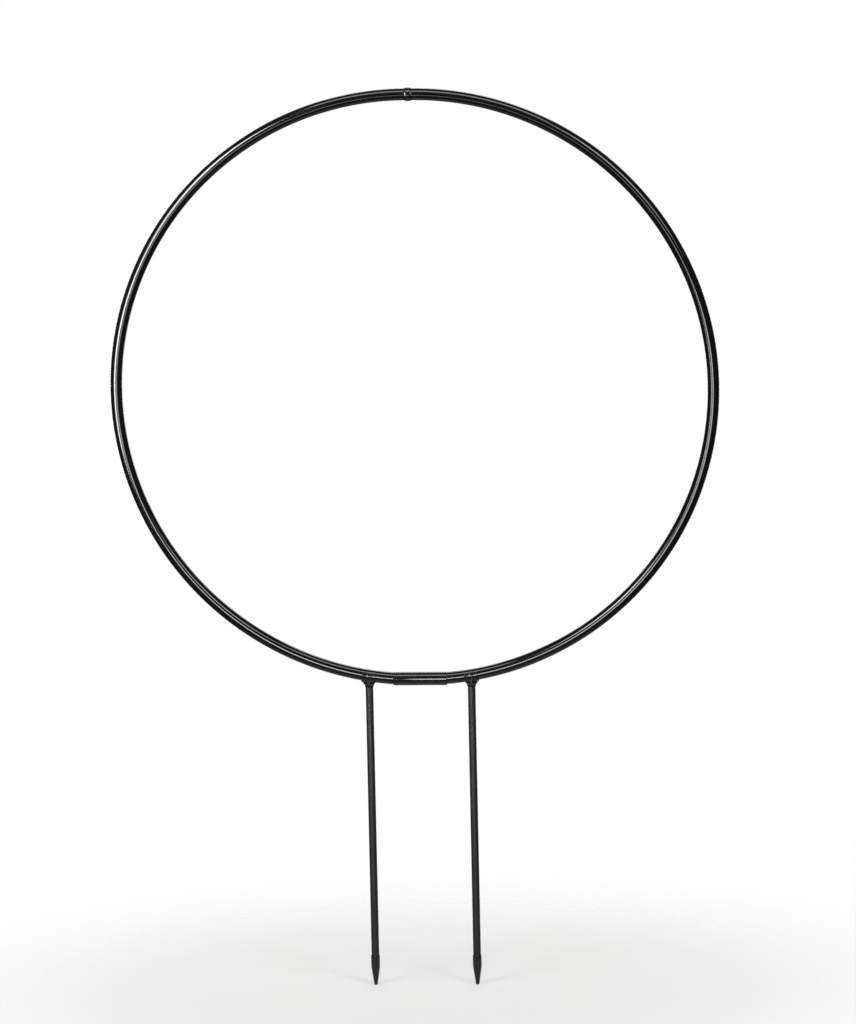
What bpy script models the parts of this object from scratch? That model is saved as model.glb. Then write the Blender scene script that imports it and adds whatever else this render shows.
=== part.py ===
"""Ring plant support: a hoop of plastic-coated steel tube on two thin legs that are pushed into soil.

The hoop is two half rings. They meet on a plug at the top and in a sleeve at the bottom. A clip under each
half ring takes the bare top of a leg, which passes up through a cross hole into the tube.

Metres, +Z up. The hoop stands in the XZ plane. The origin is on the soil line, midway between the legs.
"""
import math

import bmesh
import bpy
from mathutils import Matrix, Vector

MM = 0.001

# Clearances.
SEAT_GAP = 0.30 * MM  # between a piece and the one that it rests on or slides in
LINING_GAP = 0.20 * MM  # between a tube or rod and what is wrapped round it

# Hoop.
HOOP_WIDTH = 300.0 * MM  # over the plastic coat, side to side
HOOP_CLEARANCE = 56.0 * MM  # from the soil line to the underside of the coat
COAT_DIAMETER = 6.0 * MM
COAT_WALL = 0.50 * MM
TUBE_WALL = 0.50 * MM

# Joints between the half rings.
STOP_WIDTH = 3.4 * MM  # what keeps the two tube ends apart, at the top and at the bottom
COLLAR_RIM = 0.40 * MM  # how far the plug's collar stands out of the coat
COLLAR_ROUND = 0.90 * MM
SPIGOT_LENGTH = 9.7 * MM
SPIGOT_NOSE = 0.40 * MM
RIB_PITCH = 2.4 * MM
RIB_HEIGHT = 0.12 * MM
RIB_SLOPE = 0.36 * MM  # length of a rib's gentle side, which goes in first
SLEEVE_LENGTH = 26.4 * MM
SLEEVE_WALL = 0.50 * MM
SLEEVE_LIP_ROUND = 0.22 * MM

# Leg clips.
CLIP_WALL = 0.60 * MM
CLIP_WRAP = math.radians(230.0)
CLIP_SHOULDER = 0.20 * MM  # what the band has beside the boss, at each end
CLIP_EDGE_ROUND = 0.24 * MM
BOSS_DROP = 1.9 * MM  # how far the boss reaches below the clip's band
BOSS_RIM = 0.30 * MM  # how far the boss's end stands out of the leg
BOSS_FLARE = 0.90 * MM  # how far the boss spreads where it leaves the band
BOSS_EDGE_ROUND = 0.25 * MM

# Legs.
LEG_SPACING = 50.6 * MM
LEG_IN_SOIL = 95.0 * MM
LEG_DIAMETER = 3.8 * MM
LEG_COAT_WALL = 0.50 * MM
ROD_CHAMFER = 0.40 * MM
COAT_END_ROUND = 0.20 * MM
TIP_SOCKET = 6.0 * MM  # length of the tip's straight barrel, which the rod fills
TIP_POINT = 9.0 * MM
TIP_RIM = 0.30 * MM  # how far the barrel stands out of the leg
TIP_FLAT_DIAMETER = 1.6 * MM
TIP_EDGE_ROUND = 0.35 * MM

# Facets.
BEND_STEP = math.radians(5.0)
COAT_SIDES = 16
TUBE_SIDES = 12
TURNED_SIDES = 24
LEG_SIDES = 16
ROUND_STEPS = 3
CLIP_STEPS = 16

# Sizes that follow from those above.
COAT_RADIUS = COAT_DIAMETER / 2
TUBE_RADIUS = COAT_RADIUS - COAT_WALL - LINING_GAP
BORE_RADIUS = TUBE_RADIUS - TUBE_WALL
END_X = STOP_WIDTH / 2 + SEAT_GAP  # where a half ring's tube ends
BEND_RADIUS = HOOP_WIDTH / 2 - COAT_RADIUS - END_X
HOOP_CENTRE_Z = HOOP_CLEARANCE + COAT_RADIUS + BEND_RADIUS

SLEEVE_HALF = SLEEVE_LENGTH / 2
SLEEVE_REACH = SLEEVE_HALF - END_X
SLEEVE_RISE = BEND_RADIUS - math.sqrt(BEND_RADIUS**2 - SLEEVE_REACH**2)  # of the tube, at the sleeve's mouth
SLEEVE_BORE_RADIUS = TUBE_RADIUS + SEAT_GAP + SLEEVE_RISE / 2
SLEEVE_RADIUS = SLEEVE_BORE_RADIUS + SLEEVE_WALL
SLEEVE_Z = HOOP_CENTRE_Z - BEND_RADIUS + SLEEVE_RISE / 2
COAT_END_ANGLE = math.asin((SLEEVE_REACH + SEAT_GAP) / (BEND_RADIUS - COAT_RADIUS))

SPIGOT_RIBS = int((SPIGOT_LENGTH - SPIGOT_NOSE - RIB_SLOPE) // RIB_PITCH)

LEG_X = LEG_SPACING / 2
LEG_TILT = math.asin((LEG_X - END_X) / BEND_RADIUS)  # slope of the tube above a leg
LEG_TUBE_Z = HOOP_CENTRE_Z - BEND_RADIUS * math.cos(LEG_TILT)
LEG_RADIUS = LEG_DIAMETER / 2
ROD_RADIUS = LEG_RADIUS - LEG_COAT_WALL - LINING_GAP
ROD_HOLE_RADIUS = ROD_RADIUS + SEAT_GAP
ROD_NOSE_RADIUS = ROD_RADIUS - ROD_CHAMFER
ROD_TOP_Z = (
    LEG_TUBE_Z + math.sqrt(BORE_RADIUS**2 - ROD_NOSE_RADIUS**2) - ROD_RADIUS * math.tan(LEG_TILT) - SEAT_GAP
)

CLIP_BORE_RADIUS = COAT_RADIUS + LINING_GAP
BOSS_DEPTH = CLIP_BORE_RADIUS + CLIP_WALL + BOSS_DROP  # from the tube's centre to the boss's end
BOSS_END_RADIUS = LEG_RADIUS + BOSS_RIM
BOSS_TOP_RADIUS = BOSS_END_RADIUS + BOSS_FLARE
CLIP_HALF_WIDTH = BOSS_TOP_RADIUS + CLIP_SHOULDER

LEG_COAT_TOP_Z = LEG_TUBE_Z - BOSS_DEPTH - SEAT_GAP
LEG_END_Z = -LEG_IN_SOIL
TIP_SOCKET_Z = LEG_END_Z + TIP_POINT  # the socket's floor, where the point begins
TIP_TOP_Z = TIP_SOCKET_Z + TIP_SOCKET
TIP_RADIUS = LEG_RADIUS + TIP_RIM

SIDES = {"left": -1, "right": 1}


def clear_scene():
    for thing in list(bpy.data.objects):
        bpy.data.objects.remove(thing)


def new_collection(name):
    group = bpy.data.collections.new(name)
    bpy.context.scene.collection.children.link(group)
    return group


def new_material(name, colour, roughness, metallic):
    finish = bpy.data.materials.new(name)
    finish.use_nodes = True
    shader = finish.node_tree.nodes["Principled BSDF"]
    shader.inputs["Base Color"].default_value = (*colour, 1.0)
    shader.inputs["Roughness"].default_value = roughness
    shader.inputs["Metallic"].default_value = metallic
    finish.diffuse_color = (*colour, 1.0)
    return finish


def new_object(name, mesh, group, location=(0, 0, 0)):
    piece = bpy.data.objects.new(name, mesh)
    piece.location = location
    group.objects.link(piece)
    return piece


def part(name, mesh, finish, location=(0, 0, 0)):
    mesh.materials.append(MATERIALS[finish])
    return new_object(name, mesh, PARTS, location)


def cutter(name, mesh, location=(0, 0, 0)):
    tool = new_object(name, mesh, CUTTERS, location)
    tool.hide_render = True
    tool.display_type = "WIRE"
    return tool


def combine(piece, tool, operation):
    boolean = piece.modifiers.new(tool.name, "BOOLEAN")
    boolean.operation = operation
    boolean.solver = "EXACT"
    boolean.object = tool


def rounded(centre, radius, start, end):
    """Points of a quarter round in a profile, given as angles in degrees from the profile's +X."""
    points = []
    for step in range(ROUND_STEPS + 1):
        angle = math.radians(start + (end - start) * step / ROUND_STEPS)
        points.append((centre[0] + radius * math.cos(angle), centre[1] + radius * math.sin(angle)))
    return points


def profile_mesh(name, points, closed=False):
    """A turned piece's half section: radius and height pairs that run down its outer side."""
    mesh = bpy.data.meshes.new(name)
    edges = [(index, index + 1) for index in range(len(points) - 1)]
    if closed:
        edges.append((len(points) - 1, 0))
    mesh.from_pydata([(radius, 0, height) for radius, height in points], edges, [])
    return mesh


def turn(piece, sides):
    """Turn a profile round the object's own Z."""
    screw = piece.modifiers.new("turn", "SCREW")
    screw.axis = "Z"
    screw.angle = math.tau
    screw.steps = sides
    screw.render_steps = sides
    screw.use_merge_vertices = True
    screw.merge_threshold = 0.000001
    screw.use_smooth_shade = True
    return piece


def mesh_from(shape, name):
    mesh = bpy.data.meshes.new(name)
    shape.to_mesh(mesh)
    shape.free()
    mesh.shade_smooth()
    mesh.set_sharp_from_angle(angle=math.radians(40))
    return mesh


def cylinder_mesh(name, radius, low, high):
    """A closed cylinder along Z, between two heights."""
    shape = bmesh.new()
    bmesh.ops.create_cone(
        shape,
        cap_ends=True,
        segments=TURNED_SIDES,
        radius1=radius,
        radius2=radius,
        depth=high - low,
        matrix=Matrix.Translation((0, 0, (low + high) / 2)),
    )
    return mesh_from(shape, name)


def bent_pipe(name, side, radius, wall, arc, sides, finish):
    """A pipe bent from the top of the hoop down one side, with an open bore."""
    shape = bmesh.new()
    bmesh.ops.create_circle(
        shape,
        segments=sides,
        radius=radius,
        matrix=Matrix.Translation((0, 0, BEND_RADIUS)) @ Matrix.Rotation(math.radians(90), 4, "Y"),
    )
    pipe = part(name, mesh_from(shape, name), finish, (side * END_X, 0, HOOP_CENTRE_Z))

    bend = pipe.modifiers.new("bend", "SCREW")
    bend.axis = "Y"
    bend.angle = side * arc
    bend.steps = round(arc / BEND_STEP)
    bend.render_steps = bend.steps
    bend.use_normal_flip = side > 0
    bend.use_smooth_shade = True

    skin = pipe.modifiers.new("wall", "SOLIDIFY")
    skin.thickness = wall
    skin.offset = -1.0
    skin.use_even_offset = True
    return pipe


def rod_hole(name, side):
    """The cutter for the hole that a leg's bare top goes up through."""
    mesh = cylinder_mesh(name, ROD_HOLE_RADIUS, -BOSS_DEPTH - SEAT_GAP, 0)
    return cutter(name, mesh, (side * LEG_X, 0, LEG_TUBE_Z))


def half_ring(name, side, hole):
    tube = bent_pipe(f"{name}_hoop_tube", side, TUBE_RADIUS, TUBE_WALL, math.pi, TUBE_SIDES, "steel")
    combine(tube, hole, "DIFFERENCE")
    coat = bent_pipe(
        f"{name}_hoop_coat", side, COAT_RADIUS, COAT_WALL, math.pi - COAT_END_ANGLE, COAT_SIDES, "coat"
    )
    combine(coat, hole, "DIFFERENCE")
    return [tube, coat]


def spigot_radius(reach):
    """The plug tapers as the bore bends away from it, so that it keeps its clearance along its length."""
    drop = BEND_RADIUS - math.sqrt(BEND_RADIUS**2 - max(reach - SEAT_GAP, 0) ** 2)
    return BORE_RADIUS - SEAT_GAP - RIB_HEIGHT - drop


def spigot_profile():
    """Radius and height pairs from the spigot's nose to its root, with gripping ribs."""
    root = STOP_WIDTH / 2
    nose = root + SPIGOT_LENGTH
    points = [
        (0, nose),
        (spigot_radius(SPIGOT_LENGTH) - SPIGOT_NOSE, nose),
        (spigot_radius(SPIGOT_LENGTH), nose - SPIGOT_NOSE),
    ]
    for rib in range(SPIGOT_RIBS, 0, -1):
        height = root + rib * RIB_PITCH
        radius = spigot_radius(rib * RIB_PITCH)
        points.append((radius, height + RIB_SLOPE))
        points.append((radius + RIB_HEIGHT, height))
        points.append((radius, height - RIB_HEIGHT))
    points.append((spigot_radius(0), root))
    return points


def top_plug():
    """A moulded plug: a rounded collar between two spigots that fill the tube ends."""
    collar = COAT_RADIUS + COLLAR_RIM
    half = STOP_WIDTH / 2
    edge = min(COLLAR_ROUND, half)
    upper = spigot_profile()
    lower = [(radius, -height) for radius, height in reversed(upper)]
    rim = rounded((collar - edge, half - edge), edge, 90, 0)
    rim += rounded((collar - edge, edge - half), edge, 0, -90)
    plug = part(
        "top_plug",
        profile_mesh("top_plug", upper + rim + lower),
        "moulding",
        (0, 0, HOOP_CENTRE_Z + BEND_RADIUS),
    )
    plug.rotation_euler.y = math.radians(90)
    return turn(plug, TURNED_SIDES)


def bottom_sleeve():
    """A straight sleeve: two sockets, back to back, with a stop between them."""
    stop = STOP_WIDTH / 2
    lip = min(SLEEVE_LIP_ROUND, SLEEVE_WALL / 2)
    outer_lip = rounded((SLEEVE_RADIUS - lip, SLEEVE_HALF - lip), lip, 90, 0)
    upper = [
        (0, stop),
        (SLEEVE_BORE_RADIUS, stop),
        (SLEEVE_BORE_RADIUS, SLEEVE_HALF - lip),
        (SLEEVE_BORE_RADIUS + lip / 2, SLEEVE_HALF),
    ] + outer_lip
    lower = [(radius, -height) for radius, height in reversed(upper)]
    sleeve = part("bottom_sleeve", profile_mesh("bottom_sleeve", upper + lower), "moulding", (0, 0, SLEEVE_Z))
    sleeve.rotation_euler.y = math.radians(90)
    return turn(sleeve, TURNED_SIDES)


def clip_band_mesh(name):
    """The clip's inner face: an open strip round the underside of the tube, along the object's own X."""
    shape = bmesh.new()
    rows = []
    for step in range(CLIP_STEPS + 1):
        angle = CLIP_WRAP * (step / CLIP_STEPS - 0.5)
        y = CLIP_BORE_RADIUS * math.sin(angle)
        z = -CLIP_BORE_RADIUS * math.cos(angle)
        rows.append([shape.verts.new((end * CLIP_HALF_WIDTH, y, z)) for end in (-1, 1)])
    for (first, second), (third, fourth) in zip(rows, rows[1:]):
        shape.faces.new((first, third, fourth, second))
    bmesh.ops.recalc_face_normals(shape, faces=shape.faces)
    return mesh_from(shape, name)


def boss_profile():
    """A stub from the middle of the tube down to the boss's end, flared where it leaves the band."""
    band = CLIP_BORE_RADIUS + CLIP_WALL
    edge = min(BOSS_EDGE_ROUND, BOSS_DROP / 2)
    flare = []
    for step in range(ROUND_STEPS):
        way = step / ROUND_STEPS
        flare.append((BOSS_END_RADIUS + BOSS_FLARE * (1 - way) ** 2, -band - (BOSS_DROP - edge) * way))
    foot = rounded((BOSS_END_RADIUS - edge, edge - BOSS_DEPTH), edge, 0, -90)
    return [(0, 0), (BOSS_TOP_RADIUS, 0)] + flare + foot + [(0, -BOSS_DEPTH)]


def leg_clip(name, side, hole):
    """A C-shaped clip that hugs the coat from below, with a boss for the leg."""
    place = (side * LEG_X, 0, LEG_TUBE_Z)
    clip = part(f"{name}_leg_clip", clip_band_mesh(f"{name}_leg_clip"), "moulding", place)
    clip.rotation_euler.y = -side * LEG_TILT

    skin = clip.modifiers.new("wall", "SOLIDIFY")
    skin.thickness = CLIP_WALL
    skin.offset = 1.0
    skin.use_even_offset = True
    soften = clip.modifiers.new("soft edges", "BEVEL")
    soften.width = CLIP_EDGE_ROUND
    soften.segments = 2
    soften.limit_method = "ANGLE"
    soften.angle_limit = math.radians(60)

    boss = turn(cutter(f"{name}_boss", profile_mesh(f"{name}_boss", boss_profile()), place), LEG_SIDES)
    combine(clip, boss, "UNION")
    reach = 2 * CLIP_HALF_WIDTH
    room = cutter(f"{name}_tube_room", cylinder_mesh(f"{name}_tube_room", CLIP_BORE_RADIUS, -reach, reach), place)
    room.rotation_euler.y = math.radians(90) - side * LEG_TILT
    combine(clip, room, "DIFFERENCE")
    combine(clip, hole, "DIFFERENCE")
    return [clip, boss, room, hole]


def leg(name, side):
    """A steel rod in a plastic coat, with a moulded point. The rod's top is bare."""
    place = (side * LEG_X, 0, 0)
    rod_end = TIP_SOCKET_Z + SEAT_GAP
    rod_points = [
        (0, ROD_TOP_Z),
        (ROD_NOSE_RADIUS, ROD_TOP_Z),
        (ROD_RADIUS, ROD_TOP_Z - ROD_CHAMFER),
        (ROD_RADIUS, rod_end),
        (0, rod_end),
    ]
    rod = part(f"{name}_leg_rod", profile_mesh(f"{name}_leg_rod", rod_points), "steel", place)

    edge = COAT_END_ROUND
    bore = ROD_RADIUS + LINING_GAP
    coat_end = TIP_TOP_Z + SEAT_GAP
    coat_points = rounded((LEG_RADIUS - edge, LEG_COAT_TOP_Z - edge), edge, 90, 0)
    coat_points += rounded((LEG_RADIUS - edge, coat_end + edge), edge, 0, -90)
    coat_points += [(bore, coat_end), (bore, LEG_COAT_TOP_Z)]
    coat = part(
        f"{name}_leg_coat", profile_mesh(f"{name}_leg_coat", coat_points, closed=True), "coat", place
    )

    edge = TIP_EDGE_ROUND
    socket = ROD_RADIUS + SEAT_GAP
    tip_points = [(0, TIP_SOCKET_Z), (socket, TIP_SOCKET_Z), (socket, TIP_TOP_Z)]
    tip_points += rounded((TIP_RADIUS - edge, TIP_TOP_Z - edge), edge, 90, 0)
    tip_points += [(TIP_RADIUS, TIP_SOCKET_Z), (TIP_FLAT_DIAMETER / 2, LEG_END_Z), (0, LEG_END_Z)]
    tip = part(f"{name}_leg_tip", profile_mesh(f"{name}_leg_tip", tip_points), "moulding", place)
    return [turn(piece, LEG_SIDES) for piece in (rod, coat, tip)]


def hold(name, place, pieces):
    """Hang pieces on an empty that stands on their joint's axis."""
    pivot = new_object(name, None, PARTS, place)
    pivot.empty_display_size = 10 * MM
    for piece in pieces:
        piece.parent = pivot
        piece.matrix_parent_inverse = Matrix.Translation(-Vector(place))
    return pivot


def build():
    halves = {}
    legs = {}
    for name, side in SIDES.items():
        hole = rod_hole(f"{name}_rod_hole", side)
        halves[name] = half_ring(name, side, hole) + leg_clip(name, side, hole)
        legs[name] = leg(name, side)
    halves["left"] += [top_plug(), bottom_sleeve()]

    hold("left_leg_stand", (-LEG_X, 0, 0), legs["left"])
    hold("hoop_lift", (-LEG_X, 0, LEG_COAT_TOP_Z), halves["left"])
    hold("half_pull", (END_X, 0, HOOP_CENTRE_Z + BEND_RADIUS), halves["right"])
    hold("right_leg_pull", (LEG_X, 0, LEG_COAT_TOP_Z), legs["right"])


clear_scene()
PARTS = new_collection("ring_plant_support")
CUTTERS = new_collection("cutters")
MATERIALS = {
    "coat": new_material("black plastic coat", (0.012, 0.012, 0.015), 0.12, 0.0),
    "moulding": new_material("black moulded plastic", (0.016, 0.016, 0.018), 0.28, 0.0),
    "steel": new_material("zinc-plated steel", (0.55, 0.56, 0.58), 0.35, 1.0),
}
build()
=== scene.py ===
import math

import bmesh
import bpy
from mathutils import Matrix, Vector


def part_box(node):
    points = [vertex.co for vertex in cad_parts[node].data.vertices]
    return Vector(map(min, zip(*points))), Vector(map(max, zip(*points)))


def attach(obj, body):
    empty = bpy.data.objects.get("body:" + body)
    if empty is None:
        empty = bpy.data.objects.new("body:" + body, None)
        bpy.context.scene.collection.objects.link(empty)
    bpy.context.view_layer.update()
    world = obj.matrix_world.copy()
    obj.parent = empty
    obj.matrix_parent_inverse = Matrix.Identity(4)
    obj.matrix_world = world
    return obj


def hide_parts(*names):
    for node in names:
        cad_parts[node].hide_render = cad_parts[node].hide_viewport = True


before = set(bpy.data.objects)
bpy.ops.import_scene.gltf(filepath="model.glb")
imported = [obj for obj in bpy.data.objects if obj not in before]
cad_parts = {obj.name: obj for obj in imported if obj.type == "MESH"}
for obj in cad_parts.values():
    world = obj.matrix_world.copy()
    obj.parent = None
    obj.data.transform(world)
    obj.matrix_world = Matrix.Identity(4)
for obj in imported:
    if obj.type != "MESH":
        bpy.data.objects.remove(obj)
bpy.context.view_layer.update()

mm = 0.001


# Hoop coats. Each half of the hoop is a steel tube in an extruded polyethylene coat, black and glossy, bent
# with it to a half circle. The coat stops short of the bottom sleeve, and the bare tube goes on into it. A
# cross hole from below lets the leg's rod up into the tube.

bend_radius = 145.0 * mm
hoop_z = 204.0 * mm
half_end = 2.0 * mm  # each half's top end stands this far from the middle, and its bend is centred there
coat_radius = 3.0 * mm
coat_wall = 0.5 * mm
coat_arc = math.radians(175.3547)  # the coat is bent this far, and ends square to the sleeve
seat_gap = 0.3 * mm  # what the solids leave between two pieces that are pushed home
end_gap = 0.05 * mm  # what is left of it here
sleeve_half = 13.2 * mm

leg_x = 25.3 * mm
leg_tilt = math.asin((leg_x - half_end) / bend_radius)  # slope of the tube over a leg
leg_tube_z = hoop_z - bend_radius * math.cos(leg_tilt)
rod_hole_radius = 1.5 * mm
drill_length = 8.0 * mm
cut_edge = 0.08 * mm
sharp = math.radians(60)  # an edge that turns more than this is bevelled
hair = 0.01 * mm
hair_turn = 0.0001
pipe_weld = 0.001 * mm  # vertices of a pipe closer than this become one


def start_edit(piece, action="SELECT"):
    bpy.context.view_layer.objects.active = piece
    piece.select_set(True)
    bpy.ops.object.mode_set(mode="EDIT")
    bpy.ops.mesh.select_mode(type="VERT")
    bpy.ops.mesh.select_all(action=action)


def set_down(piece, name):
    """Puts the piece's place into its mesh, and names it."""
    bpy.ops.object.select_all(action="DESELECT")
    piece.select_set(True)
    bpy.context.view_layer.objects.active = piece
    bpy.ops.object.transform_apply(location=True, rotation=True, scale=True)
    piece.name = piece.data.name = name


def apply_modifier(piece, kind, **settings):
    bpy.context.view_layer.objects.active = piece
    modifier = piece.modifiers.new(kind.lower(), kind)
    for key, value in settings.items():
        setattr(modifier, key, value)
    bpy.ops.object.modifier_apply(modifier=modifier.name)


def join_or_cut(piece, tool, operation):
    apply_modifier(piece, "BOOLEAN", operation=operation, solver="EXACT", object=tool)
    bpy.data.objects.remove(tool)


def faces_out(piece):
    """Turns a closed piece's faces round if they enclose less than nothing."""
    shape = bmesh.new()
    shape.from_mesh(piece.data)
    inside_out = shape.calc_volume(signed=True) < 0
    shape.free()
    if inside_out:
        start_edit(piece)
        bpy.ops.mesh.flip_normals()
        bpy.ops.object.mode_set(mode="OBJECT")


def smooth(piece, degrees=35):
    bpy.ops.object.select_all(action="DESELECT")
    piece.select_set(True)
    bpy.context.view_layer.objects.active = piece
    bpy.ops.object.shade_smooth_by_angle(angle=math.radians(degrees))


def mirrored(piece, name):
    """A copy for the hoop's other side."""
    bpy.ops.object.select_all(action="DESELECT")
    piece.select_set(True)
    bpy.context.view_layer.objects.active = piece
    bpy.ops.object.duplicate(linked=False)
    copy = bpy.context.object
    start_edit(copy)
    bpy.ops.transform.resize(value=(-1, 1, 1), center_override=(0, 0, 0))
    bpy.ops.object.mode_set(mode="OBJECT")
    copy.name = copy.data.name = name
    faces_out(copy)
    return copy


def choose(piece, wanted):
    """In edit mode, selects the vertices whose place is wanted."""
    bpy.ops.mesh.select_mode(type="VERT")
    bpy.ops.mesh.select_all(action="DESELECT")
    shape = bmesh.from_edit_mesh(piece.data)
    for corner in shape.verts:
        corner.select = wanted(corner.co)
    shape.select_flush(True)
    bmesh.update_edit_mesh(piece.data)


def drill_rod_hole(piece):
    """Cuts the hole for the left leg's rod, from below up to the middle of the tube."""
    bpy.ops.object.select_all(action="DESELECT")
    bpy.ops.mesh.primitive_cylinder_add(
        vertices=48,
        radius=rod_hole_radius,
        depth=drill_length,
        location=(-leg_x, 0, leg_tube_z - drill_length / 2),
    )
    join_or_cut(piece, bpy.context.object, "DIFFERENCE")


def bent_half(name, radius, wall, arc, sides, steps, deburr):
    """A pipe of the left half: a ring at the hoop's top, spun down the left side, with a wall and rounded
    rims. Its top end goes on straight to the plug's collar. If it stops short, its other end is square to
    the sleeve."""
    bpy.ops.object.select_all(action="DESELECT")
    bpy.ops.mesh.primitive_circle_add(
        vertices=sides,
        radius=radius,
        location=(-half_end, 0, hoop_z + bend_radius),
        rotation=(0, math.pi / 2, 0),
    )
    pipe = bpy.context.object
    set_down(pipe, name)
    start_edit(pipe)
    bpy.ops.mesh.spin(steps=steps, angle=arc, center=(-half_end, 0, hoop_z), axis=(0, 1, 0))
    choose(pipe, lambda place: place.z > hoop_z and place.x > -half_end - hair)
    bpy.ops.mesh.extrude_region_move(TRANSFORM_OT_translate={"value": (seat_gap - end_gap, 0, 0)})
    if arc < math.pi:
        last = arc - hair_turn
        choose(pipe, lambda place: math.atan2(-half_end - place.x, place.z - hoop_z) > last)
        bpy.ops.mesh.extrude_region_move(TRANSFORM_OT_translate={"value": (0, 0, 0)})
        bpy.ops.transform.resize(value=(0, 1, 1), center_override=(-sleeve_half - end_gap, 0, 0))
    bpy.ops.mesh.select_all(action="SELECT")
    bpy.ops.mesh.remove_doubles(threshold=pipe_weld)
    bpy.ops.mesh.normals_make_consistent(inside=False)
    bpy.ops.object.mode_set(mode="OBJECT")
    front = min(pipe.data.polygons, key=lambda face: face.center.y)
    if front.normal.y > 0:
        start_edit(pipe)
        bpy.ops.mesh.flip_normals()
        bpy.ops.object.mode_set(mode="OBJECT")
    apply_modifier(pipe, "SOLIDIFY", thickness=wall, offset=-1.0, use_even_offset=True)
    apply_modifier(pipe, "BEVEL", width=deburr, segments=2, limit_method="ANGLE", angle_limit=sharp)
    drill_rod_hole(pipe)
    faces_out(pipe)
    smooth(pipe)
    return pipe


def linear(code):
    """An sRGB hex colour in linear light."""
    channels = [int(code[place : place + 2], 16) / 255 for place in (1, 3, 5)]
    return (*[c / 12.92 if c <= 0.04045 else ((c + 0.055) / 1.055) ** 2.4 for c in channels], 1.0)


def add(tree, kind, settings=None, links=None):
    """Adds a node with its settings, by property or socket name, and its links, by socket."""
    made = tree.nodes.new(kind)
    for key, value in (settings or {}).items():
        if isinstance(key, str) and hasattr(made, key):
            setattr(made, key, value)
        else:
            made.inputs[key].default_value = value
    for key, source in (links or {}).items():
        tree.links.new(source, made.inputs[key])
    return made


def fresh_material(name):
    finish = bpy.data.materials.new(name)
    finish.use_nodes = True
    finish.node_tree.nodes.clear()
    return finish, finish.node_tree


def unrolled_hoop(tree):
    """Where a point lies on the hoop's tube if that were straight: across it, through it, and along it."""
    place = add(tree, "ShaderNodeTexCoord").outputs["Object"]
    centred = add(tree, "ShaderNodeVectorMath", {"operation": "ADD", 1: (0, 0, -hoop_z)}, {0: place})
    folded = add(tree, "ShaderNodeVectorMath", {"operation": "ABSOLUTE"}, {0: centred.outputs[0]})
    split = add(tree, "ShaderNodeSeparateXYZ", None, {0: centred.outputs[0]})
    fold = add(tree, "ShaderNodeSeparateXYZ", None, {0: folded.outputs[0]})
    across = add(tree, "ShaderNodeMath", {"operation": "SUBTRACT", 1: half_end}, {0: fold.outputs["X"]})
    flat = add(tree, "ShaderNodeCombineXYZ", None, {"X": across.outputs[0], "Z": split.outputs["Z"]})
    reach = add(tree, "ShaderNodeVectorMath", {"operation": "LENGTH"}, {0: flat.outputs[0]})
    off = add(tree, "ShaderNodeMath", {"operation": "SUBTRACT", 1: bend_radius}, {0: reach.outputs["Value"]})
    turn = add(
        tree, "ShaderNodeMath", {"operation": "ARCTAN2"}, {0: across.outputs[0], 1: split.outputs["Z"]}
    )
    along = add(tree, "ShaderNodeMath", {"operation": "MULTIPLY", 1: bend_radius}, {0: turn.outputs[0]})
    straight = add(
        tree,
        "ShaderNodeCombineXYZ",
        None,
        {"X": off.outputs[0], "Y": split.outputs["Y"], "Z": along.outputs[0]},
    )
    return straight.outputs[0]


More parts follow.
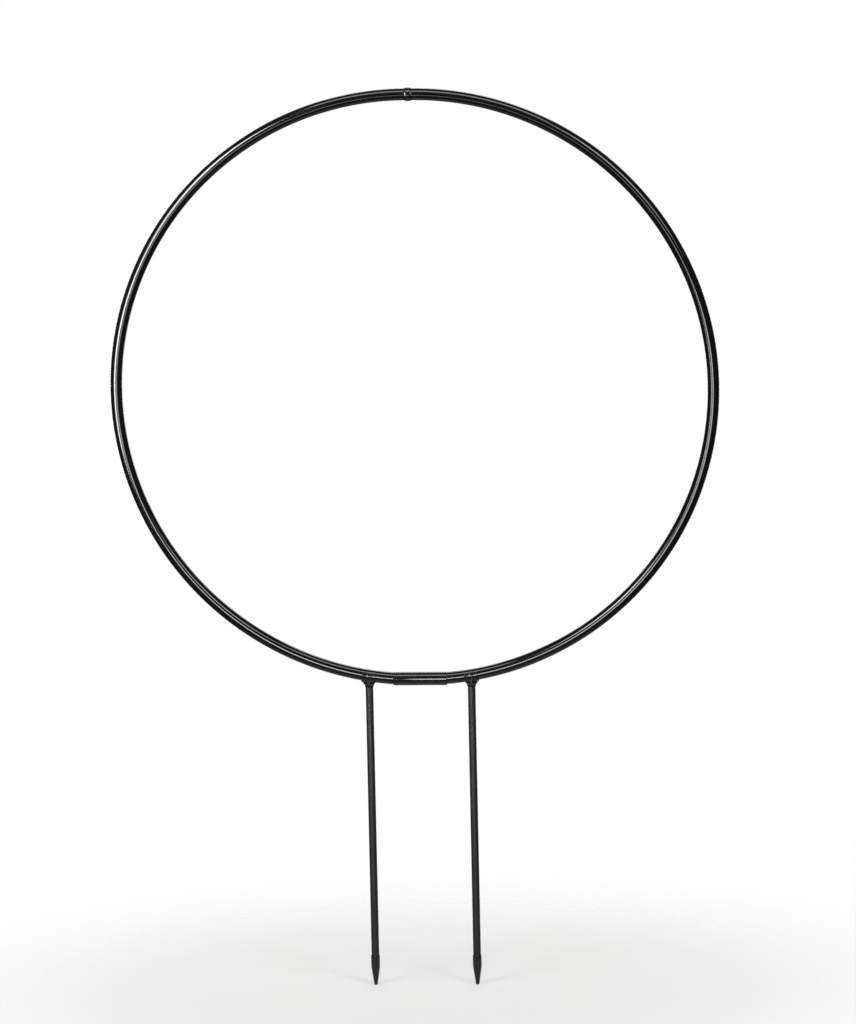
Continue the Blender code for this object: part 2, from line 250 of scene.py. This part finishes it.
def gloss_coat(name, straight_place, scuff_amount, dullness):
    """Extruded black polyethylene: a deep, wet gloss with a little orange peel, faint lines drawn along it by
    the die, and fine scuffs from handling. IOR 1.51, roughness about the dullness that is given."""
    finish, tree = fresh_material(name)
    place = straight_place(tree)

    # Die lines, 0.5 mm apart round the tube and a hundred times as long as they are wide.
    drawn = add(tree, "ShaderNodeMapping", {"Scale": (1, 1, 0.01)}, {"Vector": place})
    lines = add(tree, "ShaderNodeTexNoise", {"Scale": 2000, "Detail": 2}, {"Vector": drawn.outputs[0]})
    # Orange peel, cells 0.9 mm across, and a slow ripple left by the bending, 14 mm from crest to crest.
    peel = add(tree, "ShaderNodeTexNoise", {"Scale": 1100, "Detail": 1}, {"Vector": place})
    ripple = add(tree, "ShaderNodeTexNoise", {"Scale": 70, "Detail": 1}, {"Vector": place})
    # Scuffs, 1 to 2 mm long, sparse.
    long_way = add(tree, "ShaderNodeMapping", {"Scale": (1, 1, 0.35)}, {"Vector": place})
    rubbed = add(tree, "ShaderNodeTexNoise", {"Scale": 1500, "Detail": 3}, {"Vector": long_way.outputs[0]})
    sparse = add(tree, "ShaderNodeTexNoise", {"Scale": 120, "Detail": 2}, {"Vector": place})
    scuff_fine = add(
        tree, "ShaderNodeMapRange", {"From Min": 0.60, "From Max": 0.72}, {"Value": rubbed.outputs["Fac"]}
    )
    scuff_where = add(
        tree, "ShaderNodeMapRange", {"From Min": 0.50, "From Max": 0.66}, {"Value": sparse.outputs["Fac"]}
    )
    scuffs = add(
        tree,
        "ShaderNodeMath",
        {"operation": "MULTIPLY"},
        {0: scuff_fine.outputs["Result"], 1: scuff_where.outputs["Result"]},
    )
    # The black is a touch blue, and clouds a little where the pigment is uneven.
    cloud = add(tree, "ShaderNodeTexNoise", {"Scale": 45, "Detail": 3}, {"Vector": place})
    black = add(
        tree,
        "ShaderNodeMix",
        {"data_type": "RGBA", 6: linear("#060608"), 7: linear("#0b0b0e")},
        {0: cloud.outputs["Fac"]},
    )
    # A scuff is greyer, and rougher by up to 0.2.
    scuff_share = add(
        tree, "ShaderNodeMath", {"operation": "MULTIPLY", 1: scuff_amount}, {0: scuffs.outputs[0]}
    )
    tint = add(
        tree,
        "ShaderNodeMix",
        {"data_type": "RGBA", 7: linear("#242428")},
        {0: scuff_share.outputs[0], 6: black.outputs[2]},
    )
    dulled = add(
        tree,
        "ShaderNodeMapRange",
        {"From Min": 0.3, "From Max": 0.7, "To Min": dullness * 0.8, "To Max": dullness * 1.2},
        {"Value": cloud.outputs["Fac"]},
    )
    rough = add(
        tree,
        "ShaderNodeMath",
        {"operation": "MULTIPLY_ADD", 1: 0.20},
        {0: scuffs.outputs[0], 2: dulled.outputs["Result"]},
    )
    line_bump = add(
        tree, "ShaderNodeBump", {"Strength": 1.0, "Distance": 0.0003 * mm}, {"Height": lines.outputs["Fac"]}
    )
    peel_bump = add(
        tree,
        "ShaderNodeBump",
        {"Strength": 1.0, "Distance": 0.0010 * mm},
        {"Height": peel.outputs["Fac"], "Normal": line_bump.outputs[0]},
    )
    ripple_bump = add(
        tree,
        "ShaderNodeBump",
        {"Strength": 1.0, "Distance": 0.02 * mm},
        {"Height": ripple.outputs["Fac"], "Normal": peel_bump.outputs[0]},
    )
    shader = add(
        tree,
        "ShaderNodeBsdfPrincipled",
        {"IOR": 1.51, "Metallic": 0.0},
        {
            "Base Color": tint.outputs[2],
            "Roughness": rough.outputs[0],
            "Normal": ripple_bump.outputs[0],
        },
    )
    add(tree, "ShaderNodeOutputMaterial", None, {"Surface": shader.outputs[0]})
    return finish


coat_left = bent_half("hoop_coat_left", coat_radius, coat_wall, coat_arc, 64, 176, cut_edge)
coat_right = mirrored(coat_left, "hoop_coat_right")
hoop_gloss = gloss_coat("glossy black polyethylene, extruded and bent", unrolled_hoop, 0.5, 0.11)
for coat, body, node in (
    (coat_left, "left_half", "left_hoop_coat"),
    (coat_right, "right_half", "right_hoop_coat"),
):
    coat.data.materials.append(hoop_gloss)
    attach(coat, body)
    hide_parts(node)


# Hoop tubes. Thin-walled steel tube, zinc plated, inside the coats. It runs the full half circle, past the
# coat's end and into the sleeve, and its bare end shows only when the hoop is pulled apart.

tube_radius = 2.3 * mm
tube_wall = 0.5 * mm


def plated_steel(name, straight_place):
    """Drawn mild steel with bright zinc: a dull silver with fine lines along the draw and faint cloudy
    patches where the passivation is thicker. Roughness about 0.3."""
    finish, tree = fresh_material(name)
    place = straight_place(tree)
    # Draw lines, 0.12 mm apart, real ones being half of that.
    drawn = add(tree, "ShaderNodeMapping", {"Scale": (1, 1, 0.02)}, {"Vector": place})
    lines = add(tree, "ShaderNodeTexNoise", {"Scale": 8000, "Detail": 3}, {"Vector": drawn.outputs[0]})
    cloud = add(tree, "ShaderNodeTexNoise", {"Scale": 260, "Detail": 3}, {"Vector": place})
    zinc = add(
        tree,
        "ShaderNodeMix",
        {"data_type": "RGBA", 6: linear("#b3b6bb"), 7: linear("#c9c8c2")},
        {0: cloud.outputs["Fac"]},
    )
    rough = add(
        tree,
        "ShaderNodeMapRange",
        {"From Min": 0.3, "From Max": 0.7, "To Min": 0.24, "To Max": 0.40},
        {"Value": lines.outputs["Fac"]},
    )
    bump = add(
        tree, "ShaderNodeBump", {"Strength": 1.0, "Distance": 0.004 * mm}, {"Height": lines.outputs["Fac"]}
    )
    shader = add(
        tree,
        "ShaderNodeBsdfPrincipled",
        {"Metallic": 1.0},
        {"Base Color": zinc.outputs[2], "Roughness": rough.outputs["Result"], "Normal": bump.outputs[0]},
    )
    add(tree, "ShaderNodeOutputMaterial", None, {"Surface": shader.outputs[0]})
    return finish


tube_left = bent_half("hoop_tube_left", tube_radius, tube_wall, math.pi, 40, 120, cut_edge)
tube_right = mirrored(tube_left, "hoop_tube_right")
tube_zinc = plated_steel("zinc-plated steel tube", unrolled_hoop)
for tube, body, node in (
    (tube_left, "left_half", "left_hoop_tube"),
    (tube_right, "right_half", "right_hoop_tube"),
):
    tube.data.materials.append(tube_zinc)
    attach(tube, body)
    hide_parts(node)


# Top plug. A nylon moulding that joins the halves at the top: a collar with rounded shoulders, a little
# prouder than the coat, between two ribbed spigots. They taper, as the tubes' bores bend away from them.

collar_radius = 3.4 * mm
collar_half = 1.7 * mm
collar_flat = 0.5 * mm
collar_crown = 3.0 * mm
collar_edge = 0.08 * mm
collar_steps = 8
spigot_length = 9.7 * mm
spigot_nose = 0.4 * mm
rib_pitch = 2.4 * mm
rib_height = 0.12 * mm
rib_slope = 0.36 * mm
rib_edge = 0.03 * mm
spigot_edge = 0.1 * mm
outline_weld = 0.0005 * mm  # an outline's vertices closer than this become one
turned_weld = 0.002 * mm  # and those of a turned piece, closer than this


def turned(name, outline, sides, centre, axis="Z"):
    """Draws an outline by extruding one vertex, rounds its corners, and spins it. The outline has, for each
    corner, its radius, its height and its rounding, from one end of the axis to the other, or back to its
    start."""
    bpy.ops.object.select_all(action="DESELECT")
    bpy.ops.mesh.primitive_plane_add(size=1 * mm, location=(0, 0, 0))
    piece = bpy.context.object
    start_edit(piece)
    bpy.ops.mesh.merge(type="CENTER")
    first = outline[0]
    bpy.ops.transform.translate(value=(first[0], 0, first[1]))
    for here, there in zip(outline, outline[1:]):
        bpy.ops.mesh.extrude_region_move(
            TRANSFORM_OT_translate={"value": (there[0] - here[0], 0, there[1] - here[1])}
        )
    bpy.ops.mesh.select_all(action="SELECT")
    bpy.ops.mesh.remove_doubles(threshold=outline_weld)
    for radius, height, rounding in outline:
        if rounding:
            bpy.ops.mesh.select_all(action="DESELECT")
            shape = bmesh.from_edit_mesh(piece.data)
            corner = min(shape.verts, key=lambda v: (v.co - Vector((radius, 0, height))).length)
            corner.select = True
            bmesh.update_edit_mesh(piece.data)
            bpy.ops.mesh.bevel(
                offset=rounding, offset_type="OFFSET", segments=5, affect="VERTICES", profile=0.5
            )
    bpy.ops.mesh.select_all(action="SELECT")
    bpy.ops.mesh.spin(steps=sides, angle=math.tau, center=(0, 0, 0), axis=(0, 0, 1))
    bpy.ops.mesh.select_all(action="SELECT")
    bpy.ops.mesh.remove_doubles(threshold=turned_weld)
    bpy.ops.mesh.normals_make_consistent(inside=False)
    bpy.ops.object.mode_set(mode="OBJECT")
    piece.rotation_euler = {"X": (0, math.pi / 2, 0), "-Y": (math.pi / 2, 0, 0), "Z": (0, 0, 0)}[axis]
    piece.location = centre
    set_down(piece, name)
    faces_out(piece)
    smooth(piece)
    return piece


def spigot_radius(reach):
    drop = bend_radius - math.sqrt(bend_radius**2 - max(reach - seat_gap, 0) ** 2)
    return tube_radius - tube_wall - seat_gap - rib_height - drop


def moulded_black(name, centre, parting):
    """Injection-moulded black nylon: half gloss, with the fine grain of a spark-eroded mould, and a hairline
    where the mould's halves met. IOR 1.53, roughness about 0.15."""
    finish, tree = fresh_material(name)
    place = add(tree, "ShaderNodeTexCoord").outputs["Object"]
    local = add(
        tree, "ShaderNodeMapping", {"Location": tuple(-value for value in centre)}, {"Vector": place}
    )
    # Mould grain, 0.22 mm, about twice the real size so that it shows.
    grain = add(tree, "ShaderNodeTexNoise", {"Scale": 4500, "Detail": 2}, {"Vector": local.outputs[0]})
    cloud = add(tree, "ShaderNodeTexNoise", {"Scale": 300, "Detail": 3}, {"Vector": local.outputs[0]})
    split = add(tree, "ShaderNodeSeparateXYZ", None, {0: local.outputs[0]})
    aside = add(tree, "ShaderNodeMath", {"operation": "ABSOLUTE"}, {0: split.outputs[parting]})
    # The parting line stands 0.03 mm proud and is 0.12 mm wide.
    seam = add(
        tree,
        "ShaderNodeMapRange",
        {"From Min": 0.03 * mm, "From Max": 0.09 * mm, "To Min": 1.0, "To Max": 0.0},
        {"Value": aside.outputs[0]},
    )
    black = add(
        tree,
        "ShaderNodeMix",
        {"data_type": "RGBA", 6: linear("#08080a"), 7: linear("#0f0f11")},
        {0: cloud.outputs["Fac"]},
    )
    rough = add(
        tree,
        "ShaderNodeMapRange",
        {"From Min": 0.3, "From Max": 0.7, "To Min": 0.12, "To Max": 0.18},
        {"Value": cloud.outputs["Fac"]},
    )
    grain_bump = add(
        tree, "ShaderNodeBump", {"Strength": 1.0, "Distance": 0.0005 * mm}, {"Height": grain.outputs["Fac"]}
    )
    seam_bump = add(
        tree,
        "ShaderNodeBump",
        {"Strength": 1.0, "Distance": 0.03 * mm},
        {"Height": seam.outputs["Result"], "Normal": grain_bump.outputs[0]},
    )
    shader = add(
        tree,
        "ShaderNodeBsdfPrincipled",
        {"IOR": 1.53, "Metallic": 0.0},
        {
            "Base Color": black.outputs[2],
            "Roughness": rough.outputs["Result"],
            "Normal": seam_bump.outputs[0],
        },
    )
    add(tree, "ShaderNodeOutputMaterial", None, {"Surface": shader.outputs[0]})
    return finish


right_side = [(spigot_radius(0), collar_half, 0)]
for rib in (1, 2, 3):
    stalk = spigot_radius(rib * rib_pitch)
    height = collar_half + rib * rib_pitch
    right_side += [
        (stalk, height - rib_height, 0),
        (stalk + rib_height, height, rib_edge),
        (stalk, height + rib_slope, 0),
    ]
right_side += [
    (spigot_radius(spigot_length), collar_half + spigot_length - spigot_nose, spigot_edge),
    (spigot_radius(spigot_length) - spigot_nose, collar_half + spigot_length, spigot_edge),
    (0, collar_half + spigot_length, 0),
]
left_side = [(radius, -height, rounding) for radius, height, rounding in reversed(right_side)]
collar = []
for step in range(-collar_steps, collar_steps + 1):
    reach = collar_half * step / collar_steps
    past_flat = max(abs(reach) - collar_flat, 0)
    crowned = collar_radius - collar_crown + math.sqrt(collar_crown**2 - past_flat**2)
    collar.append((crowned, reach, collar_edge if abs(step) == collar_steps else 0))
plug_centre = (0, 0, hoop_z + bend_radius)
plug = turned("joint_plug_top", left_side + collar + right_side, 72, plug_centre, "X")
plug.data.materials.append(moulded_black("half-gloss black nylon, plug", plug_centre, "Y"))
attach(plug, "left_half")
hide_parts("top_plug")


# Bottom sleeve. A straight moulded sleeve with a socket at each end and a stop between them. Both tubes go
# into it, between the legs, and its lips are rounded so that they don't scratch the coat.

sleeve_wall = 0.5 * mm
sleeve_lip = 0.22 * mm
socket_lip = 0.1 * mm
sleeve_reach = sleeve_half - half_end
sleeve_rise = bend_radius - math.sqrt(bend_radius**2 - sleeve_reach**2)
sleeve_bore = tube_radius + seat_gap + sleeve_rise / 2
sleeve_radius = sleeve_bore + sleeve_wall
sleeve_centre = (0, 0, hoop_z - bend_radius + sleeve_rise / 2)

sleeve_outline = [
    (0, -collar_half, 0),
    (sleeve_bore, -collar_half, 0),
    (sleeve_bore, -sleeve_half, socket_lip),
    (sleeve_radius, -sleeve_half, sleeve_lip),
    (sleeve_radius, sleeve_half, sleeve_lip),
    (sleeve_bore, sleeve_half, socket_lip),
    (sleeve_bore, collar_half, 0),
    (0, collar_half, 0),
]
sleeve = turned("joint_sleeve_bottom", sleeve_outline, 72, sleeve_centre, "X")
sleeve.data.materials.append(moulded_black("half-gloss black nylon, sleeve", sleeve_centre, "Y"))
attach(sleeve, "left_half")
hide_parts("bottom_sleeve")


# Leg clips. Each is one nylon moulding: an open band that springs on to the coat from below, with the low
# round pip of the mould's gate in front, and a short boss, flared where it leaves the band, with a hole that
# guides the leg's rod up into the tube.

clip_bore = 3.2 * mm
clip_wall = 0.6 * mm
clip_wrap = math.radians(230.0)
clip_half_width = 3.3 * mm
clip_edge = 0.24 * mm
boss_drop = 1.9 * mm
boss_end_radius = 2.2 * mm
boss_top_radius = 3.1 * mm
boss_edge = 0.25 * mm  # the short upright stretch under the flare
boss_rounding = boss_edge * 0.9
flare_steps = 8
reamer_length = 20.0 * mm
pip_radius = 1.2 * mm
pip_stand = 0.15 * mm
pip_crown = 3.0 * mm
pip_root = 0.1 * mm  # how far the pip starts inside the band's bore, which is reamed out after
pip_steps = 10
clip_place = (-leg_x, 0, leg_tube_z)
boss_depth = clip_bore + clip_wall + boss_drop

# The band is an open pipe along X, less the faces round its top, tilted as the tube is.
bpy.ops.object.select_all(action="DESELECT")
bpy.ops.mesh.primitive_cylinder_add(
    vertices=144,
    radius=clip_bore,
    depth=2 * clip_half_width,
    end_fill_type="NOTHING",
    rotation=(0, math.pi / 2, 0),
)
band = bpy.context.object
set_down(band, "leg_clip_left")
start_edit(band, "DESELECT")
bpy.ops.mesh.select_mode(type="FACE")
shape = bmesh.from_edit_mesh(band.data)
for face in shape.faces:
    around = math.atan2(face.calc_center_median().y, -face.calc_center_median().z)
    face.select = abs(around) > clip_wrap / 2
bmesh.update_edit_mesh(band.data)
bpy.ops.mesh.delete(type="FACE")
bpy.ops.mesh.select_all(action="SELECT")
bpy.ops.mesh.normals_make_consistent(inside=False)
bpy.ops.object.mode_set(mode="OBJECT")
lowest = min(band.data.polygons, key=lambda polygon: polygon.center.z)
if lowest.normal.z > 0:
    start_edit(band)
    bpy.ops.mesh.flip_normals()
    bpy.ops.object.mode_set(mode="OBJECT")
apply_modifier(band, "SOLIDIFY", thickness=clip_wall, offset=1.0, use_even_offset=True)
faces_out(band)
apply_modifier(band, "BEVEL", width=clip_edge, segments=4, limit_method="ANGLE", angle_limit=sharp)
band.rotation_euler = (0, leg_tilt, 0)
band.location = clip_place
set_down(band, "leg_clip_left")

flare = []
for step in range(flare_steps + 1):
    way = step / flare_steps
    flare.append(
        (
            boss_end_radius + (boss_top_radius - boss_end_radius) * (1 - way) ** 2,
            -clip_bore - clip_wall - (boss_drop - boss_edge) * way,
            0,
        )
    )
boss_outline = [(0, 0, 0), (boss_top_radius, 0, 0)] + flare
boss_outline += [(boss_end_radius, -boss_depth, boss_rounding), (0, -boss_depth, 0)]
boss = turned("boss", boss_outline, 72, clip_place)
join_or_cut(band, boss, "UNION")

pip_top = clip_bore + clip_wall + pip_stand
pip_outline = [(0, clip_bore - pip_root, 0), (pip_radius, clip_bore - pip_root, 0)]
for step in range(pip_steps + 1):
    reach = pip_radius * (1 - step / pip_steps)
    pip_outline.append((reach, pip_top - pip_crown + math.sqrt(pip_crown**2 - reach**2), 0))
pip = turned("pip", pip_outline, 64, clip_place, "-Y")
join_or_cut(band, pip, "UNION")

bpy.ops.object.select_all(action="DESELECT")
bpy.ops.mesh.primitive_cylinder_add(
    vertices=144,
    radius=clip_bore,
    depth=reamer_length,
    location=clip_place,
    rotation=(0, math.pi / 2 + leg_tilt, 0),
)
join_or_cut(band, bpy.context.object, "DIFFERENCE")
drill_rod_hole(band)
faces_out(band)
smooth(band, 30)

clip_left = band
clip_right = mirrored(clip_left, "leg_clip_right")
for clip, side in ((clip_left, "left"), (clip_right, "right")):
    centre = (-leg_x if side == "left" else leg_x, 0, leg_tube_z)
    clip.data.materials.append(moulded_black(f"half-gloss black nylon, {side} clip", centre, "Y"))
    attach(clip, f"{side}_half")
    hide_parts(f"{side}_leg_clip")


# Leg rods. Straight steel rod, zinc plated. The bare, chamfered top goes up through the clip into the hoop's
# tube, and the rest is inside the leg's coat and tip.

rod_radius = 1.2 * mm
rod_chamfer = 0.4 * mm
rod_edge = 0.08 * mm
rod_end_edge = 0.1 * mm
rod_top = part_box("left_leg_rod")[1].z
rod_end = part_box("left_leg_rod")[0].z
other_stretch = 310.0 * mm  # the right leg is cut from a stretch of tube and rod this much further on

rod_outline = [
    (0, rod_end, 0),
    (rod_radius, rod_end, rod_end_edge),
    (rod_radius, rod_top - rod_chamfer, rod_edge),
    (rod_radius - rod_chamfer, rod_top, rod_edge),
    (0, rod_top, 0),
]
rod_left = turned("leg_rod_left", rod_outline, 48, (-leg_x, 0, 0))
rod_right = mirrored(rod_left, "leg_rod_right")


def upright_left(tree):
    place = add(tree, "ShaderNodeTexCoord").outputs["Object"]
    centred = add(tree, "ShaderNodeMapping", {"Location": (leg_x, 0, 0)}, {"Vector": place})
    return centred.outputs[0]


def upright_right(tree):
    place = add(tree, "ShaderNodeTexCoord").outputs["Object"]
    centred = add(tree, "ShaderNodeMapping", {"Location": (-leg_x, 0, other_stretch)}, {"Vector": place})
    return centred.outputs[0]


for rod, side, upright in ((rod_left, "left", upright_left), (rod_right, "right", upright_right)):
    rod.data.materials.append(plated_steel(f"zinc-plated steel rod, {side}", upright))
    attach(rod, f"{side}_leg")
    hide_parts(f"{side}_leg_rod")


# Leg coats. The same extruded polyethylene as the hoop's, on a thinner rod, its gloss rubbed down by the
# soil. Each runs from just under its clip down to the tip, and has been cut square with its edges eased.

leg_radius = 1.9 * mm
leg_bore = 1.4 * mm
leg_edge = 0.2 * mm
leg_bore_edge = 0.08 * mm
leg_coat_top = leg_tube_z - boss_depth - end_gap
tip_top = -80.0 * mm
leg_coat_end = tip_top + end_gap

leg_outline = [
    (leg_bore, leg_coat_end, 0),
    (leg_radius, leg_coat_end, leg_edge),
    (leg_radius, leg_coat_top, leg_edge),
    (leg_bore, leg_coat_top, leg_bore_edge),
    (leg_bore, leg_coat_end, 0),
]
leg_left = turned("leg_coat_left", leg_outline, 64, (-leg_x, 0, 0))
leg_right = mirrored(leg_left, "leg_coat_right")
for leg, side, upright in ((leg_left, "left", upright_left), (leg_right, "right", upright_right)):
    soiled = gloss_coat(f"black polyethylene dulled by soil, {side} leg", upright, 0.9, 0.55)
    leg.data.materials.append(soiled)
    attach(leg, f"{side}_leg")
    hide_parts(f"{side}_leg_coat")


# Leg tips. A moulded point pressed on to the end of each rod, a barrel and a blunt cone, so that the leg
# parts the soil and no water gets under its coat.

tip_radius = 2.2 * mm
tip_socket = 1.5 * mm
tip_floor = -86.0 * mm
tip_end = -95.0 * mm
tip_flat = 0.8 * mm
tip_socket_edge = 0.08 * mm
tip_shoulder = 0.35 * mm
tip_belly = 0.8 * mm
tip_point = 0.25 * mm

tip_outline = [
    (0, tip_floor, 0),
    (tip_socket, tip_floor, 0),
    (tip_socket, tip_top, tip_socket_edge),
    (tip_radius, tip_top, tip_shoulder),
    (tip_radius, tip_floor, tip_belly),
    (tip_flat, tip_end, tip_point),
    (0, tip_end, 0),
]
tip_left = turned("leg_tip_left", tip_outline, 64, (-leg_x, 0, 0))
tip_right = mirrored(tip_left, "leg_tip_right")
for tip, side in ((tip_left, "left"), (tip_right, "right")):
    centre = (-leg_x if side == "left" else leg_x, 0, tip_floor)
    tip.data.materials.append(moulded_black(f"half-gloss black nylon, {side} tip", centre, "Y"))
    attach(tip, f"{side}_leg")
    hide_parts(f"{side}_leg_tip")


# Floor, a pale matt sheet under the tips that takes their shadow and fades into the white background.

floor_radius = 3.0

bpy.ops.object.select_all(action="DESELECT")
bpy.ops.mesh.primitive_circle_add(
    vertices=96, radius=floor_radius, fill_type="NGON", location=(0, 0, tip_end)
)
floor = bpy.context.object
set_down(floor, "floor")
paper, tree = fresh_material("matt white paper")
place = add(tree, "ShaderNodeTexCoord").outputs["Object"]
flat = add(tree, "ShaderNodeVectorMath", {"operation": "MULTIPLY", 1: (1, 1, 0)}, {0: place})
reach = add(tree, "ShaderNodeVectorMath", {"operation": "LENGTH"}, {0: flat.outputs[0]})
fade = add(
    tree,
    "ShaderNodeMapRange",
    {"interpolation_type": "SMOOTHERSTEP", "From Min": 0.05, "From Max": 0.32, "To Min": 0.35},
    {"Value": reach.outputs["Value"]},
)
fibre = add(tree, "ShaderNodeTexNoise", {"Scale": 900, "Detail": 3}, {"Vector": place})
white = add(
    tree,
    "ShaderNodeMix",
    {"data_type": "RGBA", 6: linear("#f0f0ef"), 7: linear("#f4f4f3")},
    {0: fibre.outputs["Fac"]},
)
matt = add(tree, "ShaderNodeBsdfDiffuse", None, {"Color": white.outputs[2]})
clear = add(tree, "ShaderNodeBsdfTransparent")
blend = add(
    tree, "ShaderNodeMixShader", None, {0: fade.outputs["Result"], 1: matt.outputs[0], 2: clear.outputs[0]}
)
add(tree, "ShaderNodeOutputMaterial", None, {"Surface": blend.outputs[0]})
floor.data.materials.append(paper)


# World and lamps. The camera sees white all round, the gloss sees it behind the hoop only, and the room is
# dim, so that the black stays black. Softboxes at the left, at the right and low in front draw the bright
# lines along the tube, one overhead lights the top and the floor, and three behind light the far side.

world = bpy.data.worlds.new("studio")
bpy.context.scene.world = world
world.use_nodes = True
tree = world.node_tree
tree.nodes.clear()
ray = add(tree, "ShaderNodeLightPath")
aim = add(tree, "ShaderNodeSeparateXYZ", None, {0: add(tree, "ShaderNodeTexCoord").outputs["Generated"]})
behind = add(
    tree,
    "ShaderNodeMapRange",
    {"interpolation_type": "SMOOTHSTEP", "From Min": 0.55, "From Max": 0.85},
    {"Value": aim.outputs["Y"]},
)
shown = add(
    tree,
    "ShaderNodeMath",
    {"operation": "MAXIMUM"},
    {0: ray.outputs["Is Glossy Ray"], 1: ray.outputs["Is Transmission Ray"]},
)
mirrored_paper = add(
    tree, "ShaderNodeMath", {"operation": "MULTIPLY"}, {0: shown.outputs[0], 1: behind.outputs["Result"]}
)
white_share = add(
    tree,
    "ShaderNodeMath",
    {"operation": "MAXIMUM"},
    {0: ray.outputs["Is Camera Ray"], 1: mirrored_paper.outputs[0]},
)
room = add(tree, "ShaderNodeBackground", {"Color": linear("#ffffff"), "Strength": 0.07})
backdrop = add(tree, "ShaderNodeBackground", {"Color": linear("#ffffff"), "Strength": 1.0})
both = add(
    tree,
    "ShaderNodeMixShader",
    None,
    {0: white_share.outputs[0], 1: room.outputs[0], 2: backdrop.outputs[0]},
)
add(tree, "ShaderNodeOutputWorld", None, {"Surface": both.outputs[0]})

# Name, place, place aimed at, width and height in metres, spread of the beam in degrees, and watts.
softboxes = (
    ("upper left", (-0.65, -0.80, 0.65), (-0.15, 0, 0.30), 0.40, 0.45, 40, 0.8),
    ("lower left", (-0.55, -0.80, 0.20), (-0.20, 0, 0.28), 0.40, 0.45, 35, 0.7),
    ("front", (0.05, -0.80, 0.05), (0.05, 0, 0.05), 0.35, 0.20, 45, 0.2),
    ("right", (0.60, -0.80, 0.80), (0.00, 0, 0.20), 0.30, 0.70, 60, 0.6),
    ("over", (0.00, -0.55, 1.45), (0.00, 0, 0.20), 1.20, 0.50, 180, 9.0),
    ("back left", (-0.75, 1.30, 0.30), (0.00, 0, 0.20), 0.25, 1.30, 180, 5.0),
    ("back right", (0.75, 1.30, 0.30), (0.00, 0, 0.20), 0.25, 1.30, 180, 5.0),
    ("back high", (0.00, 1.15, 1.15), (0.00, 0, 0.20), 0.90, 0.30, 180, 4.0),
)
for name, place, aimed_at, width, height, spread, power in softboxes:
    facing = (Vector(aimed_at) - Vector(place)).to_track_quat("-Z", "Y")
    bpy.ops.object.select_all(action="DESELECT")
    bpy.ops.object.light_add(type="AREA", location=place, rotation=facing.to_euler())
    lamp = bpy.context.object
    lamp.name = lamp.data.name = f"softbox {name}"
    lamp.data.shape = "RECTANGLE"
    lamp.data.size = width
    lamp.data.size_y = height
    lamp.data.energy = power
    lamp.data.spread = math.radians(spread)
    lamp.visible_camera = False


# Camera. A long lens keeps the ring almost as flat as the photograph has it, seen from 4.9 degrees to the
# right and 9.2 degrees above, with the camera held 1.2 degrees off level.

aside = math.radians(4.89)
above = math.radians(9.21)
off_level = math.radians(-1.22)
distance = 4.1956
aim_point = Vector((5.56 * mm, 0, 142.44 * mm))

lens_turn = (
    Matrix.Rotation(aside, 4, "Z")
    @ Matrix.Rotation(math.pi / 2 - above, 4, "X")
    @ Matrix.Rotation(off_level, 4, "Z")
)
back = Vector((math.sin(aside) * math.cos(above), -math.cos(aside) * math.cos(above), math.sin(above)))
bpy.ops.object.select_all(action="DESELECT")
bpy.ops.object.camera_add(location=aim_point + back * distance, rotation=lens_turn.to_euler())
camera = bpy.context.object
camera.data.lens = 300
camera.data.sensor_width = 36
camera.data.clip_start = 0.05
camera.data.clip_end = 200
bpy.context.scene.camera = camera
bpy.context.scene.view_settings.view_transform = "Standard"
